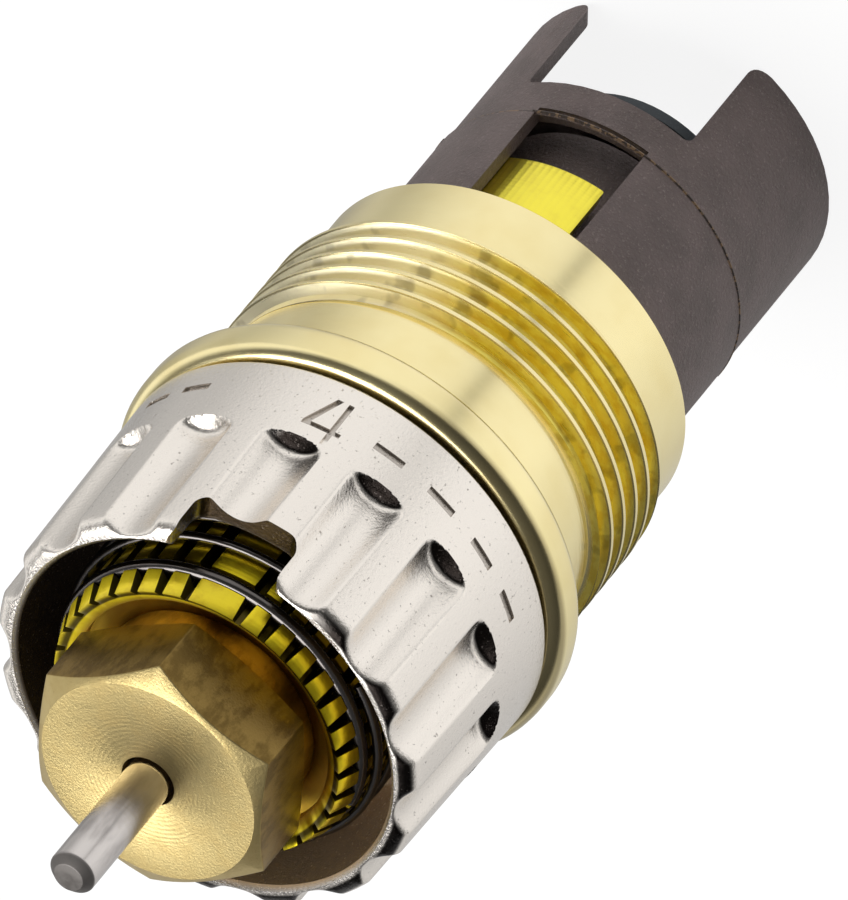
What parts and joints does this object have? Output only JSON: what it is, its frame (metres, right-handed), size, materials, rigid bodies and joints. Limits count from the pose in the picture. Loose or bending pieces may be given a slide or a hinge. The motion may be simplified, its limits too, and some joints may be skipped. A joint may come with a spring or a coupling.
{
  "type": "radiator valve insert",
  "caption": "Thermostatic radiator valve insert with a threaded brass body, a fluted presetting ring, a pressure pin and a pronged plastic cage.",
  "frame": {"origin": "on the axis, at the level of the prong ends that it stands on", "axes": "+Z along the axis towards the pressure pin; -Y is the side that the picture looks at"},
  "size_m": [0.0203, 0.0202, 0.0495],
  "materials": {
    "body_brass": "fine turned, pale gold",
    "bright_brass": "turned, bright yellow",
    "gland_brass": "turned, dull olive gold",
    "nickel": "satin nickel plate with fine pits",
    "steel": "polished stainless",
    "spring_steel": "drawn wire",
    "cage_plastic": "fine matte, moulded",
    "seal_rubber": "smooth black",
    "cone_rubber": "smooth dark slate"
  },
  "bodies": {
    "housing": {"valve_body": "body_brass", "valve_cage": "cage_plastic", "spring_seat": "steel", "return_spring": "spring_steel"},
    "cylinder": {"setting_cylinder": "bright_brass", "cylinder_oring": "seal_rubber", "snap_ring": "spring_steel", "gland_nut": "gland_brass", "gland_plug": "gland_brass", "gland_inner_oring": "seal_rubber", "gland_outer_oring": "seal_rubber", "retaining_clip": "spring_steel", "ring_spring": "spring_steel"},
    "ring": {"setting_ring": "nickel"},
    "stem": {"pressure_pin": "steel", "spindle": "steel", "spring_cap": "bright_brass", "cone_holder": "bright_brass", "cone_seal": "cone_rubber", "seal_washer": "steel", "spindle_nut": "bright_brass"}
  },
  "joints": [
    {"name": "setting_turn", "type": "hinge", "parent": "housing", "child": "cylinder", "pos_m": [0, 0, 0.0306], "axis": [0, 0, 1], "range_deg": [-12, 100]},
    {"name": "ring_pull", "type": "slide", "parent": "cylinder", "child": "ring", "axis": [0, 0, 1], "range_m": [0, 0.0016], "stiffness_N_per_m": 150, "springref_m": -0.002, "deforming": ["ring_spring"]},
    {"name": "stem_press", "type": "slide", "parent": "housing", "child": "stem", "axis": [0, 0, -1], "range_m": [0, 0.0015], "stiffness_N_per_m": 250, "springref_m": -0.002, "deforming": ["return_spring"]}
  ]
}
